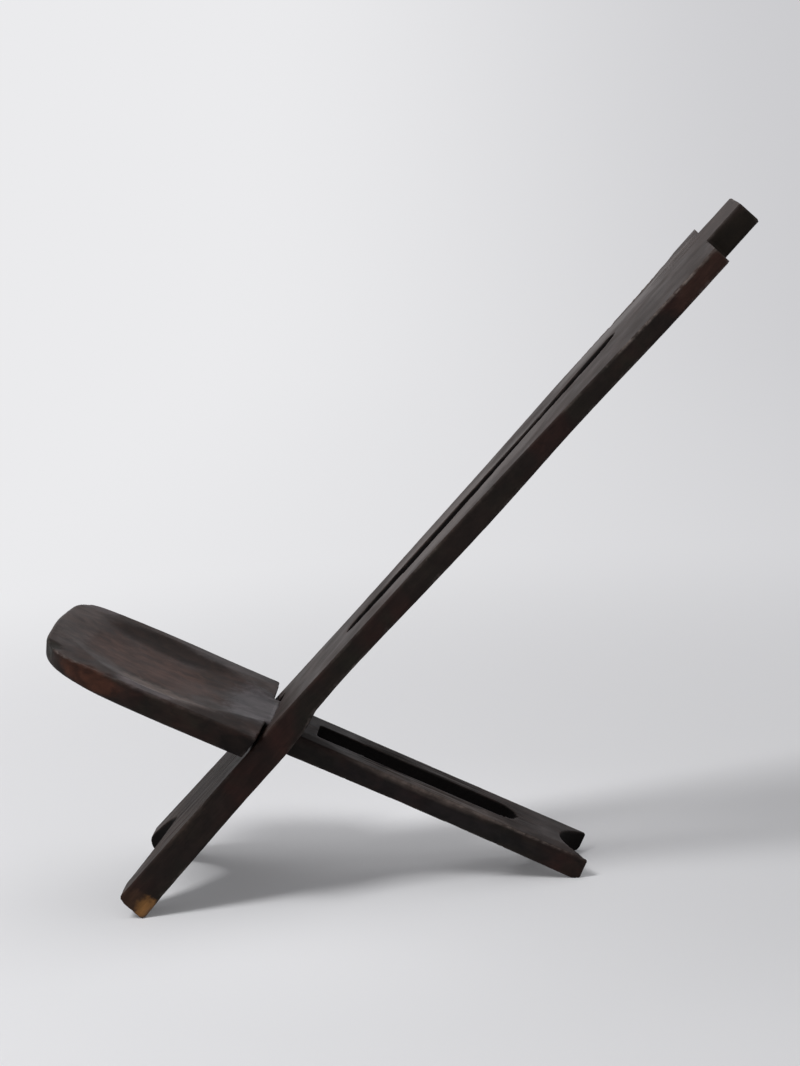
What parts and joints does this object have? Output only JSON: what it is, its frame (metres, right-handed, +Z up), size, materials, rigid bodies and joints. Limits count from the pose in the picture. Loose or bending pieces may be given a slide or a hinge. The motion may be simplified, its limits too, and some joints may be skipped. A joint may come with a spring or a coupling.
{
  "type": "african birthing chair",
  "caption": "Low African birthing chair of interlocking dark hardwood planks: a long slotted back plank leans to the rear and a dished seat plank pushes through a slanted mortise in it.",
  "frame": {"origin": "on the floor, under the middle of the chair's bounding box", "axes": "+Z up, -Y the front that the sitter faces, +X across to the sitter's left"},
  "size_m": [0.314, 0.7615, 0.6975],
  "materials": {
    "dark_hardwood": "near-black stained hardwood, waxed, with worn pale arrises",
    "worn_hardwood": "near-black stained hardwood, waxed, rubbed to red-brown in the hollow of the seat"
  },
  "bodies": {
    "back": {"back_plank": "dark_hardwood"},
    "seat": {"seat_plank": "worn_hardwood"}
  },
  "joints": [
    {"name": "seat_slide", "type": "slide", "parent": "back", "child": "seat", "axis": [0, -0.8894, 0.4571], "range_m": [0, 0.375]}
  ]
}
